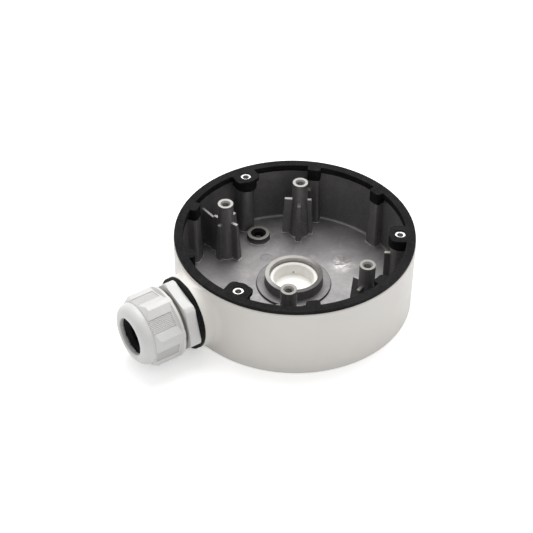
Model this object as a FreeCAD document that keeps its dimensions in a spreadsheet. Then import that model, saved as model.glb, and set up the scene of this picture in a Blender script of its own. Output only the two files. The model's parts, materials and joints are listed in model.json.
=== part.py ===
import FreeCAD, Part
import math
import os

import Sketcher
from FreeCAD import Placement, Rotation, Vector

# Round die-cast camera junction box, open at the top, with a rim gasket, a side cable gland
# and a plugged rear entry.
# Frame: millimetres, +Z up, origin at the centre of the back face that lies on the wall,
# X and Y along the sides of the rectangle of the four camera bosses. Each piece is drawn
# with the cable gland along its own +X, where angles start, and is then turned by glandTurn.

# name, value, what it is
SIZES = [
    ("outerRadius", 78.5, "outside of the wall at the rim"),
    ("wallDraft", 0.3, "how much narrower the wall is at the back"),
    ("rimHeight", 49.2, "back face to the top of the cast rim"),
    ("rimChamfer", 0.7, "edge break round the outside of the rim"),
    ("backChamfer", 0.5, "edge break round the back"),
    ("backLedge", 0.06, "how far that edge break runs out past the wall"),
    ("rimWall", 4.2, "wall thickness at the rim"),
    ("footWall", 5.0, "wall thickness at the floor"),
    ("floorTop", 7.5, "back face to the top of the floor"),
    ("floorFillet", 1.6, "radius between the floor and the wall"),
    ("backRecess", 3.8, "depth of the recess in the back"),
    ("backRim", 5.2, "width of the ring that lies on the wall"),
    ("hubRadius", 25.6, "ring round the rear entry on the back"),
    ("padRadius", 24.7, "raised pad round the rear entry"),
    ("padRise", 1.4, "height of that pad over the floor"),
    ("collarRadius", 19.15, "outside of the rear entry's collar"),
    ("collarTop", 15.9, "back face to the top of the collar"),
    ("collarFlare", 0.35, "how much wider the collar is at its foot"),
    ("entryBore", 16.25, "bore radius of the rear entry"),
    ("entrySeatRadius", 21.0, "counterbore radius for the plug's head"),
    ("entrySeat", 4.4, "depth of that counterbore"),
    ("columnTurn", 23.5, "angle from the gland to the first screw column"),
    ("columnCount", 9, "columns round the wall"),
    ("screwCount", 3, "columns that take a cover screw"),
    ("screwInset", 10.5, "outside of the wall to the cover screws' circle"),
    ("screwColumn", 5.6, "radius of a screw column"),
    ("screwPost", 3.45, "radius of the bare post that stands in the gasket's hole"),
    ("screwPostRise", 1.5, "height of that post over the rim"),
    ("screwHole", 3.3, "tapping diameter of a cover screw hole"),
    ("screwHoleDepth", 14.0, "depth of a cover screw hole"),
    ("screwSink", 4.3, "countersink diameter of a cover screw hole"),
    ("smallTop", 42.7, "top of a small column over the back face"),
    ("smallDepth", 10.5, "outside of the wall to a small column's inner face at its top"),
    ("smallHalf", 4.1, "half the width of a small column at its top"),
    ("smallCorner", 2.0, "corner radius of a small column"),
    ("smallDraft", 1.1, "how much a small column grows towards the floor on each side"),
    ("ribTop", 36.0, "top of the fins and ribs over the back face"),
    ("ribThick", 2.2, "thickness of a wall rib"),
    ("longRibDepth", 19.8, "outside of the wall to the end of the rib on one screw column"),
    ("shortRibDepth", 13.3, "outside of the wall to the end of the rib beside one small column"),
    ("shortRibShift", 2.0, "angle from that column to its rib"),
    ("glandTurn", 9.5, "angle from the frame's X axis to the gland's axis"),
    ("bossSpanX", 55.4, "camera bosses, centre to centre along X"),
    ("bossSpanY", 95.4, "camera bosses, centre to centre along Y"),
    ("bossRadius", 5.2, "radius of a camera boss"),
    ("bossFoot", 7.2, "radius of a camera boss at the floor"),
    ("bossTop", 50.0, "top of a camera boss over the back face"),
    ("bossHole", 4.2, "tapping diameter of a camera boss"),
    ("bossHoleDepth", 16.0, "depth of a camera boss's hole"),
    ("bossSink", 6.6, "countersink diameter of a camera boss"),
    ("finReach", 9.4, "reach of a boss's inner and outer fin at their top"),
    ("finFoot", 11.4, "reach of these fins at the floor"),
    ("longFin", 10.4, "reach at its top of the side fin towards the nearer boss"),
    ("longFinFoot", 12.0, "reach of that fin at the floor"),
    ("shortFin", 7.9, "reach at its top of the other side fin"),
    ("shortFinFoot", 9.2, "reach of that fin at the floor"),
    ("finThick", 2.2, "thickness of a fin at its top"),
    ("finFootThick", 4.4, "thickness of a fin at the floor"),
    ("webThick", 1.7, "thickness of the web from a boss to the wall"),
    ("webTop", 34.0, "top of the web where it leaves the boss's outer fin"),
    ("webRise", 4.4, "how much that top rises on its way to the wall"),
    ("wallHoleCircle", 53.5, "radius of the wall screws' circle"),
    ("wallHoleTurn", 81.4, "angle from the gland to the first wall screw"),
    ("wallCollar", 7.65, "radius of a wall screw's collar at its top"),
    ("wallCollarFoot", 8.2, "radius of that collar at the floor"),
    ("wallCollarTop", 11.8, "top of that collar over the back face"),
    ("wallHole", 5.5, "diameter of a wall screw's hole"),
    ("wallSeatRadius", 5.25, "pocket radius for the rubber seal of a wall screw"),
    ("wallSeatDepth", 4.6, "depth of that pocket"),
    ("gasketRise", 2.3, "thickness of the gasket over the rim"),
    ("gasketInset", 0.5, "rim left bare outside the gasket"),
    ("gasketDepth", 6.2, "outside of the wall to the gasket's inner edge"),
    ("skirtDrop", 4.4, "gasket's top to the edge of its skirt"),
    ("rubberFit", 0.12, "clearance of the gasket round the casting"),
    ("tabHalf", 8.3, "half the width of a gasket tab at a screw"),
    ("tabLip", 6.4, "screw's centre to the inner edge of that tab"),
    ("tabCorner", 3.4, "corner radius of that tab"),
    ("sleeveRadius", 7.35, "outside of the sleeve round a screw column"),
    ("sleeveDrop", 8.3, "gasket's top to the edge of that sleeve"),
    ("capHalf", 4.4, "half the width of the cap on a small column"),
    ("capLip", 0.3, "small column's inner face to the inner edge of that cap"),
    ("capCorner", 1.8, "corner radius of that cap"),
    ("capDrop", 8.6, "gasket's top to the underside of that cap, on the column"),
    ("capInset", 1.3, "how far that cap reaches out past the gasket's inner edge"),
    ("glandHeight", 24.8, "gland's axis over the back face"),
    ("glandRise", 6.3, "outside of the wall to the face of the gland's boss"),
    ("glandBoss", 24.2, "radius of the gland's boss"),
    ("glandBlend", 5.0, "radius that blends the boss into the wall"),
    ("glandBore", 16.6, "bore radius of the side entry"),
    ("threadFit", 0.1, "radial clearance of a thread's plain form"),
    ("washerRadius", 24.0, "outside of the gland's rubber washer"),
    ("washerThick", 3.0, "thickness of that washer"),
    ("stubLength", 11.0, "length of the gland's entry thread in the boss"),
    ("passage", 13.0, "radius of the way through the gland's body"),
    ("hexAcross", 43.0, "gland body's hexagon across flats"),
    ("hexRound", 24.0, "radius that rounds the hexagon's corners"),
    ("hexThick", 7.4, "thickness of the hexagon"),
    ("hexTurn", 16.0, "turn of the hexagon about the gland's axis"),
    ("neckGap", 3.2, "gap between the hexagon and the dome nut"),
    ("neckRadius", 18.6, "outside of the gland body's nut thread"),
    ("neckLength", 15.0, "length of that thread"),
    ("cageSeatRadius", 16.4, "bore of the body that holds the clamping cage"),
    ("cageSeatDepth", 12.4, "depth of that bore"),
    ("nutLength", 27.2, "length of the dome nut"),
    ("nutFlange", 23.4, "radius of the dome nut's rear ring"),
    ("nutFlangeThick", 1.8, "thickness of that ring"),
    ("nutAcross", 42.4, "dome nut across flats"),
    ("nutRound", 23.6, "radius that rounds the dome nut's corners"),
    ("nutFlatLength", 18.0, "length of the flats"),
    ("nutTurn", -15.7, "turn of the dome nut about the gland's axis"),
    ("flatChamfer", 2.7, "how far the corners end before the flats do"),
    ("domeFoot", 20.3, "radius of the dome at the end of the flats"),
    ("domeStep", 0.3, "length of the step from the flats down to the dome"),
    ("domeRound", 6.0, "radius that rounds the dome into its flat nose"),
    ("noseHole", 12.3, "radius of the hole in the nose"),
    ("noseThick", 2.6, "thickness of the nose round its hole"),
    ("nutBoreLength", 15.5, "length of the nut's threaded bore"),
    ("panelWidth", 9.6, "width of the ribbed panel on each flat"),
    ("panelDepth", 0.55, "depth of that panel"),
    ("panelInset", 2.0, "rear ring to the panel's rear end"),
    ("gripRoot", 0.4, "how deep the ribs are rooted in the panel"),
    ("gripCount", 8, "ribs on each panel"),
    ("gripWidth", 0.62, "width of a rib"),
    ("gripHeight", 0.4, "height of a rib"),
    ("cageWall", 2.6, "wall of the clamping cage's sleeve"),
    ("cageInset", 2.2, "cage's end to the bottom of its bore in the body"),
    ("cageFingers", 12, "fingers of the clamping cage"),
    ("cageSlot", 1.4, "width of the slots between the fingers"),
    ("cageTip", 14.2, "outside of the fingers at their tips"),
    ("cageTipWall", 1.3, "thickness of the fingers at their tips"),
    ("sealFit", 0.15, "clearance of the rubber seal in the cage"),
    ("sealHole", 9.0, "radius of the cable's way through the rubber seal"),
    ("sealLip", 11.4, "radius of the seal's mouth"),
    ("plugHead", 20.6, "radius of the rear plug's head"),
    ("plugSink", 0.5, "plug's head under the back face"),
    ("plugSealThick", 1.2, "thickness of the plug's flat seal"),
    ("plugTop", 12.8, "top of the plug over the back face"),
    ("plugCup", 13.2, "radius of the cup in the plug's top"),
    ("plugCupEdge", 0.7, "edge break round the cup's mouth"),
    ("plugCupDraft", 0.6, "how much narrower the cup is at its floor"),
    ("plugCupDepth", 8.2, "depth of that cup"),
    ("coinSlotWidth", 3.0, "width of the coin slot in the plug's head"),
    ("coinSlotLength", 26.0, "length of that slot"),
    ("coinSlotDepth", 1.6, "depth of that slot"),
    ("screwSealRadius", 5.1, "outside of a wall screw's rubber seal"),
    ("screwSealHole", 2.75, "hole radius of that seal"),
    ("screwSealSink", 0.7, "seal's top under the top of its collar"),
]

doc = FreeCAD.newDocument("CameraJunctionBox")
sheet = doc.addObject("Spreadsheet::Sheet", "Sizes")
for row, (alias, value, note) in enumerate(SIZES, start=1):
    sheet.set("A%d" % row, alias)
    sheet.set("B%d" % row, str(value))
    sheet.set("C%d" % row, note)
    sheet.setAlias("B%d" % row, alias)
doc.recompute()

SIZE_NAMES = [alias for alias, value, note in SIZES]
# sizes that follow others
FOLLOWING = {
    "baseRadius": "(outerRadius - wallDraft)",
    "screwCircle": "(outerRadius - screwInset)",
    "smallReach": "(outerRadius - smallDepth)",
    "longRibReach": "(outerRadius - longRibDepth)",
    "shortRibReach": "(outerRadius - shortRibDepth)",
    "gasketInner": "(outerRadius - gasketDepth)",
    "tabReach": "(screwCircle - tabLip)",
    "capReach": "(smallReach - capLip)",
    "glandFace": "(outerRadius + glandRise)",
}
OVERRUN = 8.0
HEX_SIDES = 6

BOSS_CIRCLE = "(sqrt(bossSpanX ^ 2 + bossSpanY ^ 2) / 2)"
BOSS_LEAN = "atan(bossSpanX / bossSpanY) / 1deg"
BOSS_TURNS = [
    ("A", "90 - %s - glandTurn" % BOSS_LEAN, True),
    ("B", "90 + %s - glandTurn" % BOSS_LEAN, False),
]


def bound(text):
    """The expression with each size's name led back to the sheet."""
    words = []
    word = ""
    for letter in text + " ":
        if letter.isalnum() or letter == "_":
            word += letter
            continue
        if word in FOLLOWING:
            words.append(bound(FOLLOWING[word]))
        else:
            words.append("Sizes." + word if word in SIZE_NAMES else word)
        words.append(letter)
        word = ""
    return "".join(words).strip()


def number(text):
    """The value of an expression in the named sizes."""
    result = sheet.evalExpression(bound(text))
    return float(getattr(result, "Value", result))


def originFeature(body, role):
    for feature in body.Origin.OriginFeatures:
        if feature.Role == role:
            return feature
    raise ValueError("no origin feature " + role)


def newBody(name):
    body = doc.addObject("PartDesign::Body", name)
    body.Label = name
    return body


def newSketch(body, name, role="XY_Plane", lift=None, turn=None):
    """A sketch on one of the body's own planes, lifted along its normal and turned about Z."""
    sketch = body.newObject("Sketcher::SketchObject", name)
    sketch.AttachmentSupport = [(originFeature(body, role), "")]
    sketch.MapMode = "FlatFace"
    if turn is not None:
        upward = Vector(0, 0, 1) if role == "XY_Plane" else Vector(0, 1, 0)
        sketch.AttachmentOffset = Placement(Vector(0, 0, 0), Rotation(upward, 1.0))
        sketch.setExpression("AttachmentOffset.Rotation.Angle", bound(turn))
    if lift is not None:
        sketch.setExpression("AttachmentOffset.Base.z", bound(lift))
    return sketch


def fixPoint(sketch, geometry, end, across, along):
    """Ties a point to the sketch's origin by two expressions; "0" puts it on the axis."""
    for kind, axis, text in (("DistanceX", -2, across), ("DistanceY", -1, along)):
        if text == "0":
            sketch.addConstraint(Sketcher.Constraint("PointOnObject", geometry, end, axis))
            continue
        index = sketch.addConstraint(
            Sketcher.Constraint(kind, -1, 1, geometry, end, number(text))
        )
        sketch.setExpression("Constraints[%d]" % index, bound(text))


def outline(sketch, corners):
    """A closed outline of straight sides, each corner given by two expressions."""
    points = [Vector(number(across), number(along), 0) for across, along in corners]
    sides = []
    for start, end in zip(points, points[1:] + points[:1]):
        sides.append(sketch.addGeometry(Part.LineSegment(start, end), False))
    for side, following in zip(sides, sides[1:] + sides[:1]):
        sketch.addConstraint(Sketcher.Constraint("Coincident", side, 2, following, 1))
    for side, (across, along) in zip(sides, corners):
        fixPoint(sketch, side, 1, across, along)
    return sketch


def disc(sketch, radius, across="0", along="0"):
    """A circle whose radius and centre are expressions."""
    centre = Vector(number(across), number(along), 0)
    circle = sketch.addGeometry(Part.Circle(centre, Vector(0, 0, 1), number(radius)), False)
    fixPoint(sketch, circle, 3, across, along)
    index = sketch.addConstraint(Sketcher.Constraint("Radius", circle, number(radius)))
    sketch.setExpression("Constraints[%d]" % index, bound(radius))
    return sketch


def roundEnded(sketch, centre, radius, outer):
    """A bar along the sketch's X axis: a half-round end at centre, square at outer."""
    middle = number(centre)
    reach = number(radius)
    far = number(outer)
    arc = sketch.addGeometry(
        Part.ArcOfCircle(
            Part.Circle(Vector(middle, 0, 0), Vector(0, 0, 1), reach), math.pi / 2, 1.5 * math.pi
        ),
        False,
    )
    lower = sketch.addGeometry(
        Part.LineSegment(Vector(middle, -reach, 0), Vector(far, -reach, 0)), False
    )
    end = sketch.addGeometry(Part.LineSegment(Vector(far, -reach, 0), Vector(far, reach, 0)), False)
    upper = sketch.addGeometry(
        Part.LineSegment(Vector(far, reach, 0), Vector(middle, reach, 0)), False
    )
    sketch.addConstraint(Sketcher.Constraint("Tangent", arc, 2, lower, 1))
    sketch.addConstraint(Sketcher.Constraint("Coincident", lower, 2, end, 1))
    sketch.addConstraint(Sketcher.Constraint("Coincident", end, 2, upper, 1))
    sketch.addConstraint(Sketcher.Constraint("Tangent", upper, 2, arc, 1))
    sketch.addConstraint(Sketcher.Constraint("Horizontal", lower))
    sketch.addConstraint(Sketcher.Constraint("Horizontal", upper))
    sketch.addConstraint(Sketcher.Constraint("Vertical", end))
    fixPoint(sketch, arc, 3, centre, "0")
    index = sketch.addConstraint(Sketcher.Constraint("Radius", arc, reach))
    sketch.setExpression("Constraints[%d]" % index, bound(radius))
    index = sketch.addConstraint(Sketcher.Constraint("DistanceX", -1, 1, end, 1, far))
    sketch.setExpression("Constraints[%d]" % index, bound(outer))
    return sketch


def pad(body, name, sketch, length, both=False):
    feature = body.newObject("PartDesign::Pad", name)
    feature.Profile = sketch
    feature.setExpression("Length", bound(length))
    feature.Midplane = both
    doc.recompute()
    return feature


def cut(body, name, sketch, length, up=False):
    """A pocket of a given depth; it has to take material away."""
    before = body.Shape.Volume
    feature = body.newObject("PartDesign::Pocket", name)
    feature.Profile = sketch
    feature.setExpression("Length", bound(length))
    feature.Reversed = up
    doc.recompute()
    if body.Shape.Volume >= before - 1e-6:
        raise ValueError("nothing was cut by " + name)
    return feature


def turned(body, name, sketch, kind="Revolution", axis="V_Axis"):
    """A revolution, or a groove that has to take material away."""
    before = body.Shape.Volume if kind == "Groove" else 0.0
    feature = body.newObject("PartDesign::" + kind, name)
    feature.Profile = sketch
    feature.ReferenceAxis = (sketch, [axis])
    feature.Angle = 360.0
    doc.recompute()
    if kind == "Groove" and body.Shape.Volume >= before - 1e-6:
        raise ValueError("nothing was cut by " + name)
    return feature


def around(body, name, features, count):
    """Repeats features round the body's Z axis."""
    pattern = body.newObject("PartDesign::PolarPattern", name)
    pattern.Originals = features
    pattern.Axis = (originFeature(body, "Z_Axis"), [""])
    pattern.Angle = 360.0
    if count.isdigit():
        pattern.Occurrences = int(count)
    else:
        pattern.setExpression("Occurrences", bound(count))
    body.Tip = pattern
    doc.recompute()
    return pattern


def edgesWhere(shape, test):
    """Names of the edges whose sampled points all pass a test."""
    found = []
    for index, edge in enumerate(shape.Edges, start=1):
        first, last = edge.ParameterRange
        points = [edge.valueAt(first + (last - first) * share) for share in (0.0, 0.25, 0.6, 1.0)]
        if all(test(point) for point in points):
            found.append("Edge%d" % index)
    return found


def rounded(body, name, base, edges, radius, kind="Fillet"):
    if not edges:
        raise ValueError("no edge for " + name)
    feature = body.newObject("PartDesign::" + kind, name)
    feature.Base = (base, edges)
    feature.setExpression("Radius" if kind == "Fillet" else "Size", bound(radius))
    doc.recompute()
    return feature


def hole(body, name, sketch, diameter, depth, sink):
    """A tapped hole's plain form with a countersunk mouth."""
    doc.recompute()
    feature = body.newObject("PartDesign::Hole", name)
    feature.Profile = sketch
    doc.recompute()
    feature.DepthType = "Dimension"
    feature.DrillPoint = "Flat"
    feature.HoleCutType = "Countersink"
    feature.HoleCutCustomValues = True
    feature.setExpression("Diameter", bound(diameter))
    feature.setExpression("Depth", bound(depth))
    feature.setExpression("HoleCutDiameter", bound(sink))
    feature.HoleCutCountersinkAngle = 90.0
    doc.recompute()
    return feature


def loft(body, name, lower, upper):
    """A straight-sided solid between two sketches of like outline."""
    feature = body.newObject("PartDesign::AdditiveLoft", name)
    feature.Profile = lower
    feature.Sections = [upper]
    feature.Ruled = True
    doc.recompute()
    return feature


def polar(point):
    return math.hypot(point.x, point.y)


def turnToFrame(body):
    """Turns a piece that is drawn with the gland along +X into the box's frame."""
    body.Placement = Placement(Vector(0, 0, 0), Rotation(Vector(0, 0, 1), 1.0))
    body.setExpression("Placement.Rotation.Angle", bound("glandTurn"))


def blockCorners(reach, half, corner, outer):
    """The outline of a block on the wall, with its two inner corners cut in two steps."""
    return [
        (reach, "-(%s - %s)" % (half, corner)),
        ("%s + %s * 0.3" % (reach, corner), "-(%s - %s * 0.3)" % (half, corner)),
        ("%s + %s" % (reach, corner), "-(%s)" % half),
        (outer, "-(%s)" % half),
        (outer, half),
        ("%s + %s" % (reach, corner), half),
        ("%s + %s * 0.3" % (reach, corner), "%s - %s * 0.3" % (half, corner)),
        (reach, "%s - %s" % (half, corner)),
    ]


def makeHousing():
    """The casting: wall, floor, side boss, columns, finned bosses and collars."""
    body = newBody("housing")
    slope = "(outerRadius - baseRadius) / rimHeight"
    lower = "baseRadius - %s * %s" % (OVERRUN, slope)
    upper = "outerRadius + %s * %s" % (OVERRUN, slope)
    blank = newSketch(body, "BlankProfile", "XZ_Plane")
    outline(blank, [
        ("0", "-%s" % OVERRUN),
        (lower, "-%s" % OVERRUN),
        (upper, "rimHeight + %s" % OVERRUN),
        ("0", "rimHeight + %s" % OVERRUN),
    ])
    turned(body, "Blank", blank)

    bossRoot = "baseRadius * 0.7"
    bossSketch = newSketch(body, "SideBossProfile", "YZ_Plane", lift=bossRoot)
    disc(bossSketch, "glandBoss", "0", "glandHeight")
    sideBoss = pad(body, "SideBoss", bossSketch, "glandFace - " + bossRoot)

    def onBlend(point):
        onBoss = abs(math.hypot(point.y, point.z - number("glandHeight")) - number("glandBoss")) < 0.05
        return onBoss and abs(polar(point) - number("outerRadius")) < 1.0

    blend = edgesWhere(sideBoss.Shape, onBlend)
    rounded(body, "SideBossBlend", sideBoss, blend, "glandBlend")

    trim = newSketch(body, "TrimProfile", "XZ_Plane")
    outline(trim, [
        ("0", "rimHeight"),
        ("outerRadius - rimChamfer", "rimHeight"),
        ("outerRadius", "rimHeight - rimChamfer"),
        ("glandFace + %s" % OVERRUN, "rimHeight - rimChamfer"),
        ("glandFace + %s" % OVERRUN, "rimHeight + 2 * %s" % OVERRUN),
        ("0", "rimHeight + 2 * %s" % OVERRUN),
    ])
    turned(body, "Trim", trim, "Groove")
    under = newSketch(body, "BackProfile", "XZ_Plane")
    outline(under, [
        ("0", "-2 * %s" % OVERRUN),
        ("glandFace + %s" % OVERRUN, "-2 * %s" % OVERRUN),
        ("glandFace + %s" % OVERRUN, "backChamfer + backLedge"),
        ("baseRadius + backLedge", "backChamfer + backLedge"),
        ("baseRadius - backChamfer", "0"),
        ("0", "0"),
    ])
    turned(body, "BackTrim", under, "Groove")

    room = newSketch(body, "RoomProfile", "XZ_Plane")
    outline(room, [
        ("0", "rimHeight + 1"),
        ("outerRadius - rimWall", "rimHeight + 1"),
        ("outerRadius - rimWall", "rimHeight"),
        ("baseRadius - footWall", "floorTop"),
        ("padRadius", "floorTop"),
        ("padRadius", "floorTop + padRise"),
        ("collarRadius + collarFlare", "floorTop + padRise"),
        ("collarRadius", "collarTop"),
        ("0", "collarTop"),
    ])
    roomCut = turned(body, "Room", room, "Groove")

    def atFoot(point):
        radius = number("baseRadius") - number("footWall")
        return abs(point.z - number("floorTop")) < 0.01 and abs(polar(point) - radius) < 0.05

    rounded(body, "FloorFillet", roomCut, edgesWhere(roomCut.Shape, atFoot), "floorFillet")

    recess = newSketch(body, "RecessProfile", "XZ_Plane")
    outline(recess, [
        ("hubRadius", "-1"),
        ("baseRadius - backRim", "-1"),
        ("baseRadius - backRim", "backRecess"),
        ("hubRadius", "backRecess"),
    ])
    turned(body, "Recess", recess, "Groove")

    outer = "outerRadius - rimWall + 1"
    smallFoot = newSketch(body, "SmallColumnFoot", lift="floorTop - 0.5", turn="columnTurn")
    outline(smallFoot, blockCorners(
        "(smallReach - smallDraft)", "(smallHalf + smallDraft)", "smallCorner", outer))
    smallTop = newSketch(body, "SmallColumnTop", lift="smallTop", turn="columnTurn")
    outline(smallTop, blockCorners("smallReach", "smallHalf", "smallCorner", outer))
    small = loft(body, "SmallColumn", smallFoot, smallTop)
    around(body, "SmallColumns", [small], "columnCount")

    columnSketch = newSketch(body, "ScrewColumnProfile", lift="floorTop - 1", turn="columnTurn")
    roundEnded(columnSketch, "screwCircle", "screwColumn", "outerRadius - rimWall")
    column = pad(body, "ScrewColumn", columnSketch, "rimHeight - floorTop + 1")
    postSketch = newSketch(body, "ScrewPostProfile", lift="rimHeight - 1", turn="columnTurn")
    disc(postSketch, "screwPost", "screwCircle", "0")
    post = pad(body, "ScrewPost", postSketch, "screwPostRise + 1")
    around(body, "ScrewColumns", [column, post], "screwCount")

    step = "360 / columnCount"
    longRib = newSketch(body, "LongRibProfile", lift="floorTop - 1", turn="columnTurn + 3 * " + step)
    outline(longRib, [
        ("longRibReach", "-ribThick / 2"),
        ("screwCircle", "-ribThick / 2"),
        ("screwCircle", "ribThick / 2"),
        ("longRibReach", "ribThick / 2"),
    ])
    pad(body, "LongRib", longRib, "ribTop - floorTop + 1")
    shortRibTurn = "columnTurn + 5 * %s + shortRibShift" % step
    shortRib = newSketch(body, "ShortRibProfile", lift="floorTop - 1", turn=shortRibTurn)
    outline(shortRib, [
        ("shortRibReach", "-ribThick / 2"),
        ("smallReach + smallCorner", "-ribThick / 2"),
        ("smallReach + smallCorner", "ribThick / 2"),
        ("shortRibReach", "ribThick / 2"),
    ])
    pad(body, "ShortRib", shortRib, "ribTop - floorTop + 1")

    for label, turn, longOnLeft in BOSS_TURNS:
        addCameraBosses(body, label, turn, longOnLeft)

    addWallHoles(body)

    entry = newSketch(body, "RearEntryProfile")
    disc(entry, "entryBore")
    cut(body, "RearEntry", entry, "collarTop + 1", up=True)
    seat = newSketch(body, "RearEntrySeatProfile")
    disc(seat, "entrySeatRadius")
    cut(body, "RearEntrySeat", seat, "entrySeat", up=True)

    side = newSketch(body, "SideEntryProfile", "YZ_Plane", lift=bossRoot)
    disc(side, "glandBore", "0", "glandHeight")
    cut(body, "SideEntry", side, "glandFace", up=True)

    taps = newSketch(body, "ScrewTapProfile", lift="rimHeight + screwPostRise", turn="columnTurn")
    disc(taps, "screwHole / 2", "screwCircle", "0")
    tap = hole(body, "ScrewTap", taps, "screwHole", "screwHoleDepth", "screwSink")
    around(body, "ScrewTaps", [tap], "screwCount")
    turnToFrame(body)
    return body


def crossCorners(centre, half, reach, left, right):
    """The outline of a boss's four fins: inward and outward, to the left and to the right."""
    back = "-(%s)" % half
    return [
        ("%s + %s" % (centre, reach), back),
        ("%s + %s" % (centre, reach), half),
        ("%s + %s" % (centre, half), half),
        ("%s + %s" % (centre, half), left),
        ("%s - %s" % (centre, half), left),
        ("%s - %s" % (centre, half), half),
        ("%s - %s" % (centre, reach), half),
        ("%s - %s" % (centre, reach), back),
        ("%s - %s" % (centre, half), back),
        ("%s - %s" % (centre, half), "-(%s)" % right),
        ("%s + %s" % (centre, half), "-(%s)" % right),
        ("%s + %s" % (centre, half), back),
    ]


def addCameraBosses(body, label, turn, longOnLeft):
    """A pair of opposite camera bosses with their fins, webs and tapped holes."""
    sides = ("longFin", "shortFin") if longOnLeft else ("shortFin", "longFin")
    stem = newSketch(body, "BossProfile" + label, lift="floorTop - 1", turn=turn)
    disc(stem, "bossRadius", BOSS_CIRCLE, "0")
    stemPad = pad(body, "Boss" + label, stem, "bossTop - floorTop + 1")

    foot = newSketch(body, "BossFootProfile" + label, lift="floorTop", turn=turn)
    disc(foot, "bossFoot", BOSS_CIRCLE, "0")
    neck = newSketch(body, "BossNeckProfile" + label, lift="ribTop", turn=turn)
    disc(neck, "bossRadius", BOSS_CIRCLE, "0")
    cone = loft(body, "BossCone" + label, foot, neck)

    low = newSketch(body, "FinFootProfile" + label, lift="floorTop - 0.5", turn=turn)
    outline(low, crossCorners(
        BOSS_CIRCLE, "finFootThick / 2", "finFoot", sides[0] + "Foot", sides[1] + "Foot"))
    high = newSketch(body, "FinTopProfile" + label, lift="ribTop", turn=turn)
    outline(high, crossCorners(BOSS_CIRCLE, "finThick / 2", "finReach", *sides))
    fins = loft(body, "Fins" + label, low, high)

    webStart = BOSS_CIRCLE + " + finReach"
    webEnd = "outerRadius - rimWall + 1"
    webSketch = newSketch(body, "WebProfile" + label, "XZ_Plane", turn=turn)
    outline(webSketch, [
        (BOSS_CIRCLE, "floorTop - 1"),
        (webEnd, "floorTop - 1"),
        (webEnd, "webTop + webRise"),
        (webStart, "webTop"),
        (BOSS_CIRCLE, "webTop"),
    ])
    web = pad(body, "Web" + label, webSketch, "webThick", both=True)
    around(body, "BossPair" + label, [stemPad, cone, fins, web], "2")

    tapSketch = newSketch(body, "BossTapProfile" + label, lift="bossTop", turn=turn)
    disc(tapSketch, "bossHole / 2", BOSS_CIRCLE, "0")
    tap = hole(body, "BossTap" + label, tapSketch, "bossHole", "bossHoleDepth", "bossSink")
    around(body, "BossTaps" + label, [tap], "2")


def addWallHoles(body):
    """Two collared holes for the screws that hold the box to the wall."""
    foot = newSketch(body, "WallCollarFootProfile", lift="floorTop - 0.2", turn="wallHoleTurn")
    disc(foot, "wallCollarFoot", "wallHoleCircle", "0")
    top = newSketch(body, "WallCollarTopProfile", lift="wallCollarTop", turn="wallHoleTurn")
    disc(top, "wallCollar", "wallHoleCircle", "0")
    collar = loft(body, "WallCollar", foot, top)
    padSketch = newSketch(body, "WallPadProfile", turn="wallHoleTurn")
    disc(padSketch, "wallCollarFoot", "wallHoleCircle", "0")
    backPad = pad(body, "WallPad", padSketch, "floorTop")
    around(body, "WallCollars", [collar, backPad], "2")
    screwSketch = newSketch(body, "WallHoleProfile", turn="wallHoleTurn")
    disc(screwSketch, "wallHole / 2", "wallHoleCircle", "0")
    screwCut = cut(body, "WallHole", screwSketch, "wallCollarTop + 1", up=True)
    seatSketch = newSketch(
        body, "WallSeatProfile", lift="wallCollarTop - wallSeatDepth", turn="wallHoleTurn")
    disc(seatSketch, "wallSeatRadius", "wallHoleCircle", "0")
    seatCut = cut(body, "WallSeat", seatSketch, "wallSeatDepth + 1", up=True)
    around(body, "WallHoles", [screwCut, seatCut], "2")


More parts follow.
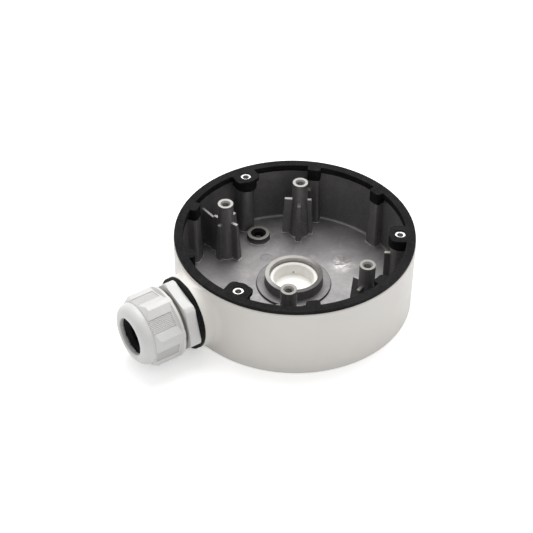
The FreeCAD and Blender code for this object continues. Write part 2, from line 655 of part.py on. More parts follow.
def makeGasket():
    """The rubber ring on the rim, with a tab or cap over each column."""
    body = newBody("rim_gasket")
    top = "rimHeight + gasketRise"
    skirtOuter = "outerRadius - rimWall - rubberFit"
    ring = newSketch(body, "RingProfile", "XZ_Plane")
    outline(ring, [
        ("gasketInner", "%s - skirtDrop" % top),
        (skirtOuter, "%s - skirtDrop" % top),
        (skirtOuter, "rimHeight"),
        ("outerRadius - gasketInset", "rimHeight"),
        ("outerRadius - gasketInset", top),
        ("gasketInner", top),
    ])
    turned(body, "Ring", ring)

    seat = "outerRadius - rimWall - rubberFit - 0.5"
    sleeveSketch = newSketch(body, "SleeveProfile", lift="%s - sleeveDrop" % top, turn="columnTurn")
    roundEnded(sleeveSketch, "screwCircle", "sleeveRadius", "gasketInner + 0.6")
    sleeve = pad(body, "Sleeve", sleeveSketch, "sleeveDrop")
    tabSketch = newSketch(body, "TabProfile", lift="rimHeight", turn="columnTurn")
    outline(tabSketch, [
        ("tabReach", "-(tabHalf - tabCorner)"),
        ("tabReach + tabCorner * 0.3", "-(tabHalf - tabCorner * 0.3)"),
        ("tabReach + tabCorner", "-tabHalf"),
        (seat, "-tabHalf"),
        (seat, "tabHalf"),
        ("tabReach + tabCorner", "tabHalf"),
        ("tabReach + tabCorner * 0.3", "tabHalf - tabCorner * 0.3"),
        ("tabReach", "tabHalf - tabCorner"),
    ])
    tab = pad(body, "Tab", tabSketch, "gasketRise")
    around(body, "Tabs", [sleeve, tab], "screwCount")

    capSketch = newSketch(body, "CapProfile", lift="%s - capDrop" % top, turn="columnTurn")
    outline(capSketch, blockCorners("capReach", "capHalf", "capCorner", "gasketInner + capInset"))
    cap = pad(body, "Cap", capSketch, "capDrop")
    around(body, "Caps", [cap], "columnCount")

    columnSketch = newSketch(body, "ColumnRoomProfile", turn="columnTurn")
    roundEnded(columnSketch, "screwCircle", "screwColumn + rubberFit", "outerRadius")
    columnRoom = cut(body, "ColumnRoom", columnSketch, "rimHeight", up=True)
    postSketch = newSketch(body, "PostRoomProfile", turn="columnTurn")
    disc(postSketch, "screwPost + rubberFit", "screwCircle", "0")
    postRoom = cut(body, "PostRoom", postSketch, top + " + 1", up=True)
    around(body, "ColumnRooms", [columnRoom, postRoom], "screwCount")
    turnToFrame(body)
    return body


def onGlandAxis(body):
    """Lays a piece that is drawn round its own Z axis along the gland's axis, from the boss."""
    body.setExpression("Placement", bound(
        "create(<<placement>>; create(<<vector>>; glandFace * cos(glandTurn * 1deg);"
        " glandFace * sin(glandTurn * 1deg); glandHeight);"
        " create(<<rotation>>; glandTurn; 90; 0))"))


def hexagonCorners(across, turn):
    """Corner expressions of a hexagon; turn is in degrees, from a corner on the X axis."""
    corners = []
    for index in range(HEX_SIDES):
        angle = "(%s + %d) * 1deg" % (turn, 60 * index)
        reach = "%s / 2 / cos(30deg)" % across
        corners.append(("%s * cos(%s)" % (reach, angle), "%s * sin(%s)" % (reach, angle)))
    return corners


def makeGlandBody():
    """Entry thread, hexagon and nut thread in one moulding, bored through."""
    body = newBody("gland_body")
    hexagon = newSketch(body, "HexagonProfile", lift="washerThick")
    outline(hexagon, hexagonCorners("hexAcross", "hexTurn"))
    pad(body, "Hexagon", hexagon, "hexThick")
    edge = newSketch(body, "CornerRoundProfile", "XZ_Plane")
    outline(edge, [
        ("hexRound", "washerThick - 1"),
        ("hexRound + 10", "washerThick - 1"),
        ("hexRound + 10", "washerThick + hexThick + 1"),
        ("hexRound - 1.6", "washerThick + hexThick + 1"),
        ("hexRound - 0.9", "washerThick + hexThick"),
        ("hexRound", "washerThick + hexThick - 0.7"),
    ])
    turned(body, "CornerRound", edge, "Groove")
    stem = newSketch(body, "StemProfile", "XZ_Plane")
    shoulder = "washerThick + hexThick"
    outline(stem, [
        ("0", "-stubLength"),
        ("glandBore - threadFit - 1", "-stubLength"),
        ("glandBore - threadFit", "-stubLength + 1"),
        ("glandBore - threadFit", "%s - 1" % shoulder),
        ("neckRadius", "%s - 1" % shoulder),
        ("neckRadius", "%s + neckLength - 1" % shoulder),
        ("neckRadius - 1", "%s + neckLength" % shoulder),
        ("0", "%s + neckLength" % shoulder),
    ])
    turned(body, "Stem", stem)
    bore = newSketch(body, "PassageProfile", lift="-stubLength - 1")
    disc(bore, "passage")
    cut(body, "Passage", bore, "stubLength + %s + neckLength + 2" % shoulder, up=True)
    seat = newSketch(
        body, "CageSeatProfile", lift="%s + neckLength - cageSeatDepth" % shoulder)
    disc(seat, "cageSeatRadius")
    cut(body, "CageSeat", seat, "cageSeatDepth + 1", up=True)
    onGlandAxis(body)
    return body


def makeWasher():
    """The black rubber washer between the gland and its boss."""
    body = newBody("gland_washer")
    ring = newSketch(body, "RingProfile", "XZ_Plane")
    outline(ring, [
        ("glandBore + threadFit", "0"),
        ("washerRadius - 0.4", "0"),
        ("washerRadius", "0.4"),
        ("washerRadius", "washerThick - 0.4"),
        ("washerRadius - 0.4", "washerThick"),
        ("glandBore + threadFit", "washerThick"),
    ])
    turned(body, "Ring", ring)
    onGlandAxis(body)
    return body


NUT_START = "(washerThick + hexThick + neckGap)"


def makeDomeNut():
    """The gland's nut: rear ring, six flats with ribbed panels, rounded nose."""
    body = newBody("gland_dome_nut")
    start = NUT_START
    flatsEnd = "(%s + nutFlangeThick + nutFlatLength)" % start
    end = "(%s + nutLength)" % start
    hexagon = newSketch(body, "HexagonProfile", lift=start)
    outline(hexagon, hexagonCorners("nutAcross", "nutTurn"))
    pad(body, "Flats", hexagon, "nutLength")

    shape = newSketch(body, "DomeProfile", "XZ_Plane")
    outline(shape, [
        ("nutRound", start + " - 1"),
        ("nutRound + 10", start + " - 1"),
        ("nutRound + 10", end + " + 1"),
        ("domeFoot", end + " + 1"),
        ("domeFoot", flatsEnd + " + domeStep"),
        ("nutAcross / 2", flatsEnd),
        ("nutRound", flatsEnd + " - flatChamfer"),
    ])
    dome = turned(body, "Dome", shape, "Groove")
    rim = edgesWhere(dome.Shape, lambda point: (
        abs(polar(point) - number("domeFoot")) < 0.01 and abs(point.z - number(end)) < 0.01
    ))
    rounded(body, "DomeRound", dome, rim, "domeRound")

    flange = newSketch(body, "FlangeProfile", "XZ_Plane")
    outline(flange, [
        ("0", start),
        ("nutFlange - 0.4", start),
        ("nutFlange", start + " + 0.4"),
        ("nutFlange", start + " + nutFlangeThick"),
        ("nutAcross / 2", start + " + nutFlangeThick + 1.1"),
        ("0", start + " + nutFlangeThick + 1.1"),
    ])
    turned(body, "Flange", flange)
    addGripPanels(body, start)

    inside = newSketch(body, "InsideProfile", "XZ_Plane")
    outline(inside, [
        ("0", start + " - 1"),
        ("neckRadius + threadFit", start + " - 1"),
        ("neckRadius + threadFit", start + " + nutBoreLength"),
        ("cageTip + 1.6", end + " - noseThick"),
        ("noseHole", end + " - noseThick"),
        ("noseHole", end + " - 0.7"),
        ("noseHole + 0.7", end),
        ("noseHole + 0.7", end + " + 1"),
        ("0", end + " + 1"),
    ])
    turned(body, "Inside", inside, "Groove")
    onGlandAxis(body)
    return body


def addGripPanels(body, start):
    """A sunk panel with fine ribs along each flat of the dome nut."""
    turn = "nutTurn + 30"
    panelStart = "(%s + nutFlangeThick + panelInset)" % start
    panel = newSketch(body, "PanelProfile", lift=panelStart, turn=turn)
    outline(panel, [
        ("nutAcross / 2 - panelDepth", "-panelWidth / 2"),
        ("nutAcross / 2 + 3", "-panelWidth / 2"),
        ("nutAcross / 2 + 3", "panelWidth / 2"),
        ("nutAcross / 2 - panelDepth", "panelWidth / 2"),
    ])
    panelCut = cut(body, "Panel", panel, "nutFlatLength", up=True)
    around(body, "Panels", [panelCut], str(HEX_SIDES))
    ribs = newSketch(body, "GripProfile", lift=panelStart + " - gripRoot", turn=turn)
    pitch = "panelWidth / (gripCount + 1)"
    for index in range(int(number("gripCount"))):
        middle = "(%s * %d - panelWidth / 2)" % (pitch, index + 1)
        outline(ribs, [
            ("nutAcross / 2 - panelDepth - gripRoot", "%s - gripWidth / 2" % middle),
            ("nutAcross / 2 - panelDepth", "%s - gripWidth / 2" % middle),
            ("nutAcross / 2 - panelDepth + gripHeight", middle),
            ("nutAcross / 2 - panelDepth", "%s + gripWidth / 2" % middle),
            ("nutAcross / 2 - panelDepth - gripRoot", "%s + gripWidth / 2" % middle),
        ])
    grips = pad(body, "Grips", ribs, "nutFlatLength - panelInset + gripRoot - 0.1")
    around(body, "GripSets", [grips], str(HEX_SIDES))


def makeCage():
    """The clamping cage: a sleeve in the body and a crown of fingers under the nut's cone."""
    body = newBody("gland_clamping_cage")
    floor = "(washerThick + hexThick + neckLength - cageSeatDepth + cageInset)"
    mouth = "(washerThick + hexThick + neckLength)"
    tip = "(%s + nutLength - noseThick - 0.3)" % NUT_START
    outer = "cageSeatRadius - threadFit"
    profile = newSketch(body, "CageProfile", "XZ_Plane")
    outline(profile, [
        (outer + " - cageWall", floor),
        (outer, floor),
        (outer, mouth),
        ("cageTip", tip),
        ("cageTip - cageTipWall", tip),
        (outer + " - cageWall", mouth),
    ])
    turned(body, "Cage", profile)
    slot = newSketch(body, "SlotProfile", lift=mouth + " - 2", turn="7.5")
    outline(slot, [
        ("cageTip - 6", "-cageSlot / 2"),
        ("cageSeatRadius + 2", "-cageSlot / 2"),
        ("cageSeatRadius + 2", "cageSlot / 2"),
        ("cageTip - 6", "cageSlot / 2"),
    ])
    slotCut = cut(body, "Slot", slot, "nutLength", up=True)
    around(body, "Slots", [slotCut], "cageFingers")
    onGlandAxis(body)
    return body


def makeCableSeal():
    """The rubber sleeve in the cage, with a flared mouth for the cable."""
    body = newBody("gland_cable_seal")
    floor = "(washerThick + hexThick + neckLength - cageSeatDepth + cageInset)"
    mouth = "(washerThick + hexThick + neckLength)"
    tip = "(%s + nutLength - noseThick - 0.3)" % NUT_START
    outer = "cageSeatRadius - threadFit - cageWall - sealFit"
    profile = newSketch(body, "SealProfile", "XZ_Plane")
    outline(profile, [
        ("sealHole + 1", floor),
        (outer, floor),
        (outer, mouth),
        ("cageTip - cageTipWall - sealFit", tip + " - 0.5"),
        ("sealLip", tip + " - 0.5"),
        ("sealHole", tip + " - 3"),
        ("sealHole", floor + " + 1"),
    ])
    turned(body, "Seal", profile)
    onGlandAxis(body)
    return body


def makePlug():
    """The white screw plug in the rear entry, hollow on top, with a coin slot in its head."""
    body = newBody("rear_entry_plug")
    headTop = "(entrySeat - plugSealThick)"
    profile = newSketch(body, "PlugProfile", "XZ_Plane")
    outline(profile, [
        ("0", "plugSink"),
        ("plugHead - 0.5", "plugSink"),
        ("plugHead", "plugSink + 0.5"),
        ("plugHead", headTop),
        ("entryBore - threadFit", headTop),
        ("entryBore - threadFit", "plugTop - 0.6"),
        ("entryBore - threadFit - 0.6", "plugTop"),
        ("plugCup + plugCupEdge", "plugTop"),
        ("plugCup", "plugTop - plugCupEdge"),
        ("plugCup - plugCupDraft", "plugTop - plugCupDepth"),
        ("0", "plugTop - plugCupDepth"),
    ])
    turned(body, "Plug", profile)
    slot = newSketch(body, "CoinSlotProfile", lift="plugSink")
    outline(slot, [
        ("-coinSlotLength / 2", "-coinSlotWidth / 2"),
        ("coinSlotLength / 2", "-coinSlotWidth / 2"),
        ("coinSlotLength / 2", "coinSlotWidth / 2"),
        ("-coinSlotLength / 2", "coinSlotWidth / 2"),
    ])
    cut(body, "CoinSlot", slot, "coinSlotDepth", up=True)
    turnToFrame(body)
    return body


def makePlugSeal():
    """The flat rubber seal under the plug's head."""
    body = newBody("rear_plug_seal")
    ring = newSketch(body, "RingProfile", "XZ_Plane")
    outline(ring, [
        ("entryBore + threadFit", "entrySeat - plugSealThick"),
        ("plugHead - 0.6", "entrySeat - plugSealThick"),
        ("plugHead - 0.6", "entrySeat"),
        ("entryBore + threadFit", "entrySeat"),
    ])
    turned(body, "Ring", ring)
    turnToFrame(body)
    return body


def makeScrewSeal(name, turn):
    """The rubber seal in one wall screw's collar."""
    body = newBody(name)
    ring = newSketch(body, "RingProfile", "XZ_Plane")
    outline(ring, [
        ("screwSealHole", "wallCollarTop - wallSeatDepth"),
        ("screwSealRadius", "wallCollarTop - wallSeatDepth"),
        ("screwSealRadius", "wallCollarTop - screwSealSink"),
        ("screwSealHole + 0.9", "wallCollarTop - screwSealSink"),
        ("screwSealHole", "wallCollarTop - screwSealSink - 0.9"),
    ])
    turned(body, "Ring", ring)
    angle = "(%s + glandTurn) * 1deg" % turn
    body.setExpression("Placement.Base.x", bound("wallHoleCircle * cos(%s)" % angle))
    body.setExpression("Placement.Base.y", bound("wallHoleCircle * sin(%s)" % angle))
    return body


subParts = [
    makeHousing(),
    makeGasket(),
    makePlug(),
    makePlugSeal(),
    makeScrewSeal("wall_screw_seal_1", "wallHoleTurn"),
    makeScrewSeal("wall_screw_seal_2", "wallHoleTurn + 180"),
    makeGlandBody(),
    makeWasher(),
    makeCage(),
    makeCableSeal(),
    makeDomeNut(),
]
doc.recompute()

# Every object has to be sound before any file is written.
for item in doc.Objects:
    if "Invalid" in item.State or "Error" in item.State:
        raise ValueError("%s is %s" % (item.Name, item.State))
for part in subParts:
    if part.Shape.isNull() or not part.Shape.isValid():
        raise ValueError(part.Label + " has no valid shape")

os.makedirs("parts", exist_ok=True)
for part in subParts:
    part.Shape.exportStep("parts/%s.step" % part.Label)
    box = part.Shape.BoundBox
    print("%-22s solids %d volume %9.1f  x %7.2f %7.2f  y %7.2f %7.2f  z %6.2f %6.2f" % (
        part.Label, len(part.Shape.Solids), part.Shape.Volume,
        box.XMin, box.XMax, box.YMin, box.YMax, box.ZMin, box.ZMax))
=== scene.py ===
import json
import math

import bmesh
import bpy
from mathutils import Matrix, Vector

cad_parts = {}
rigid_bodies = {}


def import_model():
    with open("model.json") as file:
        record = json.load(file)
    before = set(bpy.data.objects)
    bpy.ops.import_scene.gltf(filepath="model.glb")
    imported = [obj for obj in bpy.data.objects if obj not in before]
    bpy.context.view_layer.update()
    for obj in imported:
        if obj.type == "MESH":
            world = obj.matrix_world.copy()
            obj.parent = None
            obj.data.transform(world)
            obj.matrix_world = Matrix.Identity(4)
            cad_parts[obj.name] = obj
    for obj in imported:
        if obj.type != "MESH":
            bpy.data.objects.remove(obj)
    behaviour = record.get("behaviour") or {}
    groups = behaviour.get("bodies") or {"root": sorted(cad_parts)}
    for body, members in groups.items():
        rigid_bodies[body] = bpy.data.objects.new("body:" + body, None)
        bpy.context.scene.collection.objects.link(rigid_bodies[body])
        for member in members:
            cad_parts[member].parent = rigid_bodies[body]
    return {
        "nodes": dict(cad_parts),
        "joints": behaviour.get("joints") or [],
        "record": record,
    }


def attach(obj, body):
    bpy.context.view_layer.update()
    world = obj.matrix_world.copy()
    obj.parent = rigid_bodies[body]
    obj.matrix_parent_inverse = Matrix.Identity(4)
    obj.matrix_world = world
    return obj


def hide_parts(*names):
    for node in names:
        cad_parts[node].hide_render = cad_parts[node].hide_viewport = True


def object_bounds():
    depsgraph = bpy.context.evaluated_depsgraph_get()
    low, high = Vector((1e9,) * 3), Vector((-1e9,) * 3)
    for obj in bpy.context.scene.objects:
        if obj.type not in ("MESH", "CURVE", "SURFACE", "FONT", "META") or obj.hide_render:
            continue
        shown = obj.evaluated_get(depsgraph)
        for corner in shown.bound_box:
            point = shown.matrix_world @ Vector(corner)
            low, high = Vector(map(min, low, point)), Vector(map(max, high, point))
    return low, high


# Round cast camera junction box, open at the top, with a side cable gland.
# Metres, +Z out of the wall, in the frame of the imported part.

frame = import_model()
nodes = frame["nodes"]
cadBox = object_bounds()
mm = 0.001
sixth = math.radians(60)  # one side of a hexagon
driftBand = (0.3, 0.7)  # the middle of a noise, where nearly all of it lies

mounts = {mount["name"]: mount["dims"] for mount in frame["record"]["mounts"]}
glandJoint = next(joint for joint in frame["joints"] if joint["name"] == "nut_turn")
glandAxis = -Vector(glandJoint["axis"]).normalized()
glandHeight = glandJoint["pos_m"][2]
glandAngle = math.atan2(glandAxis.y, glandAxis.x)
glandSide = Vector((-math.sin(glandAngle), math.cos(glandAngle), 0))
# from the gland's own axes (sideways, up, outwards) to the box's
glandPlace = Matrix.Translation((0, 0, glandHeight)) @ Matrix(
    (glandSide, (0, 0, 1), glandAxis)).transposed().to_4x4()


class Tree:
    # a material's nodes, with short ways to add and join them
    def __init__(self, name):
        self.material = bpy.data.materials.new(name)
        self.material.use_nodes = True
        self.nodes = self.material.node_tree.nodes
        self.links = self.material.node_tree.links
        self.nodes.clear()
        self.output = self.nodes.new("ShaderNodeOutputMaterial")
        self.coords = self.nodes.new("ShaderNodeTexCoord").outputs["Object"]

    def give(self, socket, value):
        if isinstance(value, bpy.types.NodeSocket):
            self.links.new(value, socket)
        else:
            socket.default_value = value

    def math(self, operation, *values):
        node = self.nodes.new("ShaderNodeMath")
        node.operation = operation
        for socket, value in zip(node.inputs, values):
            self.give(socket, value)
        return node.outputs[0]

    def times(self, product, *others):
        for other in others:
            product = self.math("MULTIPLY", product, other)
        return product

    def step(self, value, low, high, below=0.0, above=1.0):
        # a soft step between two results, as the value goes from low to high
        node = self.nodes.new("ShaderNodeMapRange")
        node.interpolation_type = "SMOOTHSTEP"
        limits = {"From Min": low, "From Max": high, "To Min": below, "To Max": above}
        for name, number in limits.items():
            node.inputs[name].default_value = number
        self.give(node.inputs["Value"], value)
        return node.outputs["Result"]

    def split(self, vector):
        node = self.nodes.new("ShaderNodeSeparateXYZ")
        self.links.new(vector, node.inputs[0])
        return node.outputs[0], node.outputs[1], node.outputs[2]

    def away(self, first, second, centreFirst=0.0, centreSecond=0.0):
        # distance from a point, in the plane of two coordinates
        across = self.math("SUBTRACT", first, centreFirst)
        along = self.math("SUBTRACT", second, centreSecond)
        squares = self.math("ADD", self.times(across, across), self.times(along, along))
        return self.math("SQRT", squares)

    def along(self, first, second, direction):
        # how far two coordinates reach along a direction in their plane
        return self.math("ADD", self.times(first, direction[0]), self.times(second, direction[1]))

    def noise(self, scale, detail, roughness, distortion=0.0, stretch=None):
        place = self.coords
        if stretch:
            mapping = self.nodes.new("ShaderNodeMapping")
            mapping.inputs["Scale"].default_value = stretch
            self.links.new(place, mapping.inputs["Vector"])
            place = mapping.outputs[0]
        node = self.nodes.new("ShaderNodeTexNoise")
        looks = {"Scale": scale, "Detail": detail, "Roughness": roughness, "Distortion": distortion}
        for name, number in looks.items():
            node.inputs[name].default_value = number
        self.links.new(place, node.inputs["Vector"])
        return node.outputs["Fac"]

    def pattern(self, settings, stretch=None):
        # noise (scale, detail, roughness, distortion) through a step (from, to, below, above)
        noise, band = settings
        return self.step(self.noise(*noise, stretch=stretch), *band)

    def drift(self, noise, low, high):
        # noise that wanders between two results
        return self.step(self.noise(*noise), *driftBand, low, high)

    def mix(self, factor, first, second):
        node = self.nodes.new("ShaderNodeMix")
        node.data_type = "RGBA"
        self.give(node.inputs["Factor"], factor)
        colorInputs = [socket for socket in node.inputs if socket.type == "RGBA"]
        for socket, value in zip(colorInputs, (first, second)):
            self.give(socket, (*value, 1.0) if isinstance(value, tuple) else value)
        return next(socket for socket in node.outputs if socket.type == "RGBA")

    def layers(self, color, *coats):
        # each coat is a share and the tone that it lays over what is there
        for share, tone in coats:
            color = self.mix(share, color, tone)
        return color

    def bump(self, height, depth, strength, normal):
        node = self.nodes.new("ShaderNodeBump")
        node.inputs["Strength"].default_value = strength
        node.inputs["Distance"].default_value = depth
        self.give(node.inputs["Height"], height)
        self.links.new(normal, node.inputs["Normal"])
        return node.outputs[0]

    def rounded(self, radius, samples=6):
        node = self.nodes.new("ShaderNodeBevel")
        node.samples = samples
        node.inputs["Radius"].default_value = radius
        return node.outputs[0]

    def edges(self, roundedNormal, *band):
        # high along sharp edges, 0 on faces
        geometry = self.nodes.new("ShaderNodeNewGeometry")
        dot = self.nodes.new("ShaderNodeVectorMath")
        dot.operation = "DOT_PRODUCT"
        self.links.new(roundedNormal, dot.inputs[0])
        self.links.new(geometry.outputs["Normal"], dot.inputs[1])
        return self.step(self.math("SUBTRACT", 1.0, dot.outputs["Value"]), *band)

    def facingUp(self, low, high):
        geometry = self.nodes.new("ShaderNodeNewGeometry")
        return self.step(self.split(geometry.outputs["True Normal"])[2], low, high)

    def surface(self, **values):
        node = self.nodes.new("ShaderNodeBsdfPrincipled")
        for name, value in values.items():
            self.give(node.inputs[name.replace("_", " ")], value)
        return node.outputs[0]

    def join(self, kind, *inputs):
        # a shader node that takes its inputs in order
        node = self.nodes.new(kind)
        for socket, value in zip(node.inputs, inputs):
            self.give(socket, value)
        return node.outputs[0]

    def finish(self, shader):
        self.links.new(shader, self.output.inputs["Surface"])
        return self.material


castPlaces = {
    "floorTop": 7.5 * mm,
    "overFloor": (0.5 * mm, 2.5 * mm),
    "onFloor": (0.2 * mm, 0.5 * mm),
    "feet": (1.0 * mm, 1.9 * mm),
    "entryReach": 30.0 * mm,
    "padRadius": 24.7 * mm,
    "padTop": 8.9 * mm,
    "padBelow": 9.2 * mm,
    "padStepShade": (0.2 * mm, 0.6 * mm),
    "padStepBelow": 9.0 * mm,
    "boreRadius": 17.0 * mm,
    "screwCollar": 8.8 * mm,
    "collarTops": (11.3 * mm, 11.5 * mm),
    "trimmedTops": (34.8 * mm, 35.2 * mm),
    "postTops": (50.3 * mm, 50.4 * mm),
    "facingUp": (0.9, 0.97),
    "paintedWall": (76.1 * mm, 76.3 * mm),
    "paintedBack": (5.4 * mm, 5.6 * mm),
    "pinCentre": (5.2 * mm, -31.0 * mm),
    "pinEdge": (4.1 * mm, 4.6 * mm),
    "flowCentre": (-38.5 * mm, -4.5 * mm),
    "flowEdge": (1.15 * mm, 11.5 * mm),
}
castTones = {
    "dark": (0.234, 0.226, 0.229),
    "floor": (0.302, 0.290, 0.290),
    "flow": (0.50, 0.485, 0.475),
    # painted shade tone of the walls, columns and fins above the floor
    "wall": (0.180, 0.176, 0.182),
    # painted highlight tone at the feet of fins and columns, with casting flash
    "flashAndHighlight": (0.80, 0.78, 0.76),
    "trimmed": (0.34, 0.33, 0.315),
    # painted shade tone of the front pair of boss tops
    "trimmedShade": (0.21, 0.20, 0.185),
    # painted shade tone for the pad's step and the sides of the wall screws' collars
    "step": (0.060, 0.057, 0.058),
    "pad": (0.165, 0.158, 0.160),
    "pin": (0.185, 0.182, 0.192),
    "bore": (0.40, 0.385, 0.37),
    "post": (0.72, 0.71, 0.69),
    "collar": (0.36, 0.35, 0.335),
    # painted shade tone of the entry collar's top at the front
    "collarShade": (0.105, 0.100, 0.097),
    "screwCollar": (0.31, 0.30, 0.285),
}
castGrain = {
    "metallic": 0.92,
    "edgeRadius": 0.35 * mm,
    "edges": (0.02, 0.22, 0.0, 0.45),
    "cornerRadius": 1.0 * mm,
    "cornerSamples": 8,
    "corners": (0.015, 0.10),
    "cloud": ((30.0, 4.0, 0.52, 1.4), (0.34, 0.66)),
    "streak": ((160.0, 4.0, 0.6, 0.8), (0.50, 0.80, 0.0, 0.22)),
    "grain": (2600.0, 3.0, 0.6),
    "grainBand": (0.45, 0.75, 0.0, 0.16),
    "grainHeight": 0.35,
    "drawn": ((120.0, 4.0, 0.65, 0.3), (0.34, 0.68, 0.78, 0.38)),
    "drawnStretch": (1.0, 1.0, 0.22),
    "wallShadeFades": (20.0 * mm, 44.0 * mm, 1.0, 0.5),
    "speck": ((1100.0, 3.0, 0.65), (0.50, 0.72, 0.0, 0.30)),
    "flashAndHighlight": ((330.0, 2.0, 0.5), (0.34, 0.52, 0.25, 1.0)),
    "wave": (130.0, 3.0, 0.55, 1.6),
    "waveBand": (0.46, 0.60, 0.0, 0.75),
    "lumps": (700.0, 4.0, 0.6),
    "drift": (420.0, 4.0, 0.6),
    "roughness": (0.49, 0.59),
    "stepShadeShare": 0.85,
    "padShare": 0.6,
    "collarSideShadeShare": 0.65,
    "pinShare": 0.35,
    "collarShadeDirection": (-0.34, 0.94),
    "collarShadeBand": (-14.0 * mm, 12.0 * mm),
    "trimmedShadeBand": (5.0 * mm, 35.0 * mm),
    "trimmedSmoother": 0.10,
    "flowSmoother": 0.18,
    "castBump": (0.04 * mm, 0.36),
    "flowBump": (0.7 * mm, 0.7),
    "pinBump": (0.12 * mm, 0.8),
}
powderCoat = {
    "tone": (0.745, 0.723, 0.690),
    "shade": (0.715, 0.691, 0.655),
    "cloud": ((22.0, 3.0, 0.5), (0.35, 0.65)),
    "drift": (240.0, 3.0, 0.5),
    "roughness": (0.42, 0.52),
    "peel": (900.0, 2.0, 0.5),
    "peelBump": (0.035 * mm, 0.35),
}


def findCastPlaces(tree):
    # shares that say where on the casting a point lies
    where = castPlaces
    x, y, z = tree.split(tree.coords)
    radius = tree.away(x, y)
    up = tree.facingUp(*where["facingUp"])
    floorHeight = tree.math("SUBTRACT", z, where["floorTop"])
    overFloor = tree.step(floorHeight, *where["overFloor"])
    onFloor = tree.step(floorHeight, *where["onFloor"], 1.0, 0.0)
    fromPadEdge = tree.math("ABSOLUTE", tree.math("SUBTRACT", radius, where["padRadius"]))
    screwCircle = mounts["wall_screws"]["pcd_mm"] / 2 * mm
    fromScrew = tree.away(x, tree.math("ABSOLUTE", y), 0.0, screwCircle)
    fromPin = tree.away(x, y, *where["pinCentre"])
    fromFlow = tree.away(x, y, *where["flowCentre"])
    return {
        "x": x,
        "y": y,
        "z": z,
        "overFloor": overFloor,
        "feet": tree.step(floorHeight, *where["feet"], 1.0, 0.0),
        "pastEntry": tree.math("GREATER_THAN", radius, where["entryReach"]),
        "padStepShade": tree.times(tree.step(fromPadEdge, *where["padStepShade"], 1.0, 0.0),
                              tree.math("LESS_THAN", z, where["padStepBelow"])),
        "pad": tree.times(tree.math("LESS_THAN", radius, where["padRadius"]),
                          tree.math("LESS_THAN", z, where["padBelow"])),
        "bore": tree.times(tree.math("LESS_THAN", radius, where["boreRadius"]),
                           tree.math("GREATER_THAN", z, where["padTop"])),
        "screwCollar": tree.times(tree.math("LESS_THAN", fromScrew, where["screwCollar"]), overFloor),
        "pin": tree.times(tree.step(fromPin, *where["pinEdge"], 1.0, 0.0), onFloor),
        "flow": tree.times(tree.step(fromFlow, *where["flowEdge"], 1.0, 0.0), onFloor),
        "collarTops": tree.times(up, tree.step(z, *where["collarTops"])),
        "trimmedTops": tree.times(up, tree.step(z, *where["trimmedTops"])),
        "postTops": tree.times(up, tree.step(z, *where["postTops"])),
        "painted": tree.math("MAXIMUM", tree.step(radius, *where["paintedWall"]),
                             tree.step(z, *where["paintedBack"], 1.0, 0.0)),
    }


def makeCastColor(tree, at, soft, grain, wave):
    tone, look = castTones, castGrain
    # painted shade: walls, columns and fins above the floor are painted darker, in streaks, and less so
    # towards the rim
    paintedWallShade = tree.times(at["overFloor"], tree.step(at["z"], *look["wallShadeFades"]),
                        tree.pattern(look["drawn"], look["drawnStretch"]))
    # bright line at the feet of fins, columns and wall: painted highlight of the lit fillets, broken up
    # like casting flash
    corners = tree.edges(tree.rounded(look["cornerRadius"], look["cornerSamples"]), *look["corners"])
    flashAndHighlight = tree.times(corners, at["feet"], tree.pattern(look["flashAndHighlight"]), at["pastEntry"])
    # painted shade: the entry collar's top and the front pair of trimmed boss tops are darker towards the
    # front
    # skin is the share of painted shade on the entry collar's top
    skin = tree.step(tree.along(at["x"], at["y"], look["collarShadeDirection"]), *look["collarShadeBand"])
    entryCollar = tree.mix(skin, tone["collar"], tone["collarShade"])
    collarTop = tree.mix(at["pastEntry"], entryCollar, tone["screwCollar"])
    bossTop = tree.mix(tree.step(at["y"], *look["trimmedShadeBand"]), tone["trimmed"], tone["trimmedShade"])
    floor = tree.mix(tree.pattern(look["cloud"]), tone["dark"], tone["floor"])
    return tree.layers(
        floor,
        (tree.pattern(look["streak"]), tone["flow"]),
        (tree.step(grain, *look["grainBand"]), tone["flow"]),
        (tree.edges(soft, *look["edges"]), tone["trimmed"]),
        (paintedWallShade, tone["wall"]),
        (tree.times(at["overFloor"], tree.pattern(look["speck"])), tone["flow"]),
        (flashAndHighlight, tone["flashAndHighlight"]),
        # painted shade on the pad's vertical step
        (tree.times(at["padStepShade"], look["stepShadeShare"]), tone["step"]),
        (tree.times(at["pad"], look["padShare"]), tone["pad"]),
        (at["bore"], tone["bore"]),
        # painted shade on the sides of the wall screws' collars
        (tree.times(at["screwCollar"], look["collarSideShadeShare"]), tone["step"]),
        (tree.times(at["pin"], look["pinShare"]), tone["pin"]),
        # the flow mark's ripple is real in its bump and roughness; its lighter colour is also a painted
        # highlight
        (tree.times(at["flow"], tree.step(wave, *look["waveBand"])), tone["flow"]),
        (at["collarTops"], collarTop),
        (at["trimmedTops"], bossTop),
        (at["postTops"], tone["post"]),
    )


def makeBareCasting(tree, at, soft):
    look = castGrain
    grain = tree.noise(*look["grain"])
    wave = tree.noise(*look["wave"])
    rough = tree.drift(look["drift"], *look["roughness"])
    rough = tree.math("SUBTRACT", rough, tree.times(at["trimmedTops"], look["trimmedSmoother"]))
    rough = tree.math("SUBTRACT", rough, tree.times(at["flow"], look["flowSmoother"]))
    height = tree.math("ADD", tree.times(grain, look["grainHeight"]), tree.noise(*look["lumps"]))
    normal = tree.bump(height, *look["castBump"], soft)
    normal = tree.bump(tree.times(at["flow"], wave), *look["flowBump"], normal)
    normal = tree.bump(at["pin"], *look["pinBump"], normal)
    color = makeCastColor(tree, at, soft, grain, wave)
    return tree.surface(Base_Color=color, Metallic=look["metallic"], Roughness=rough, Normal=normal)


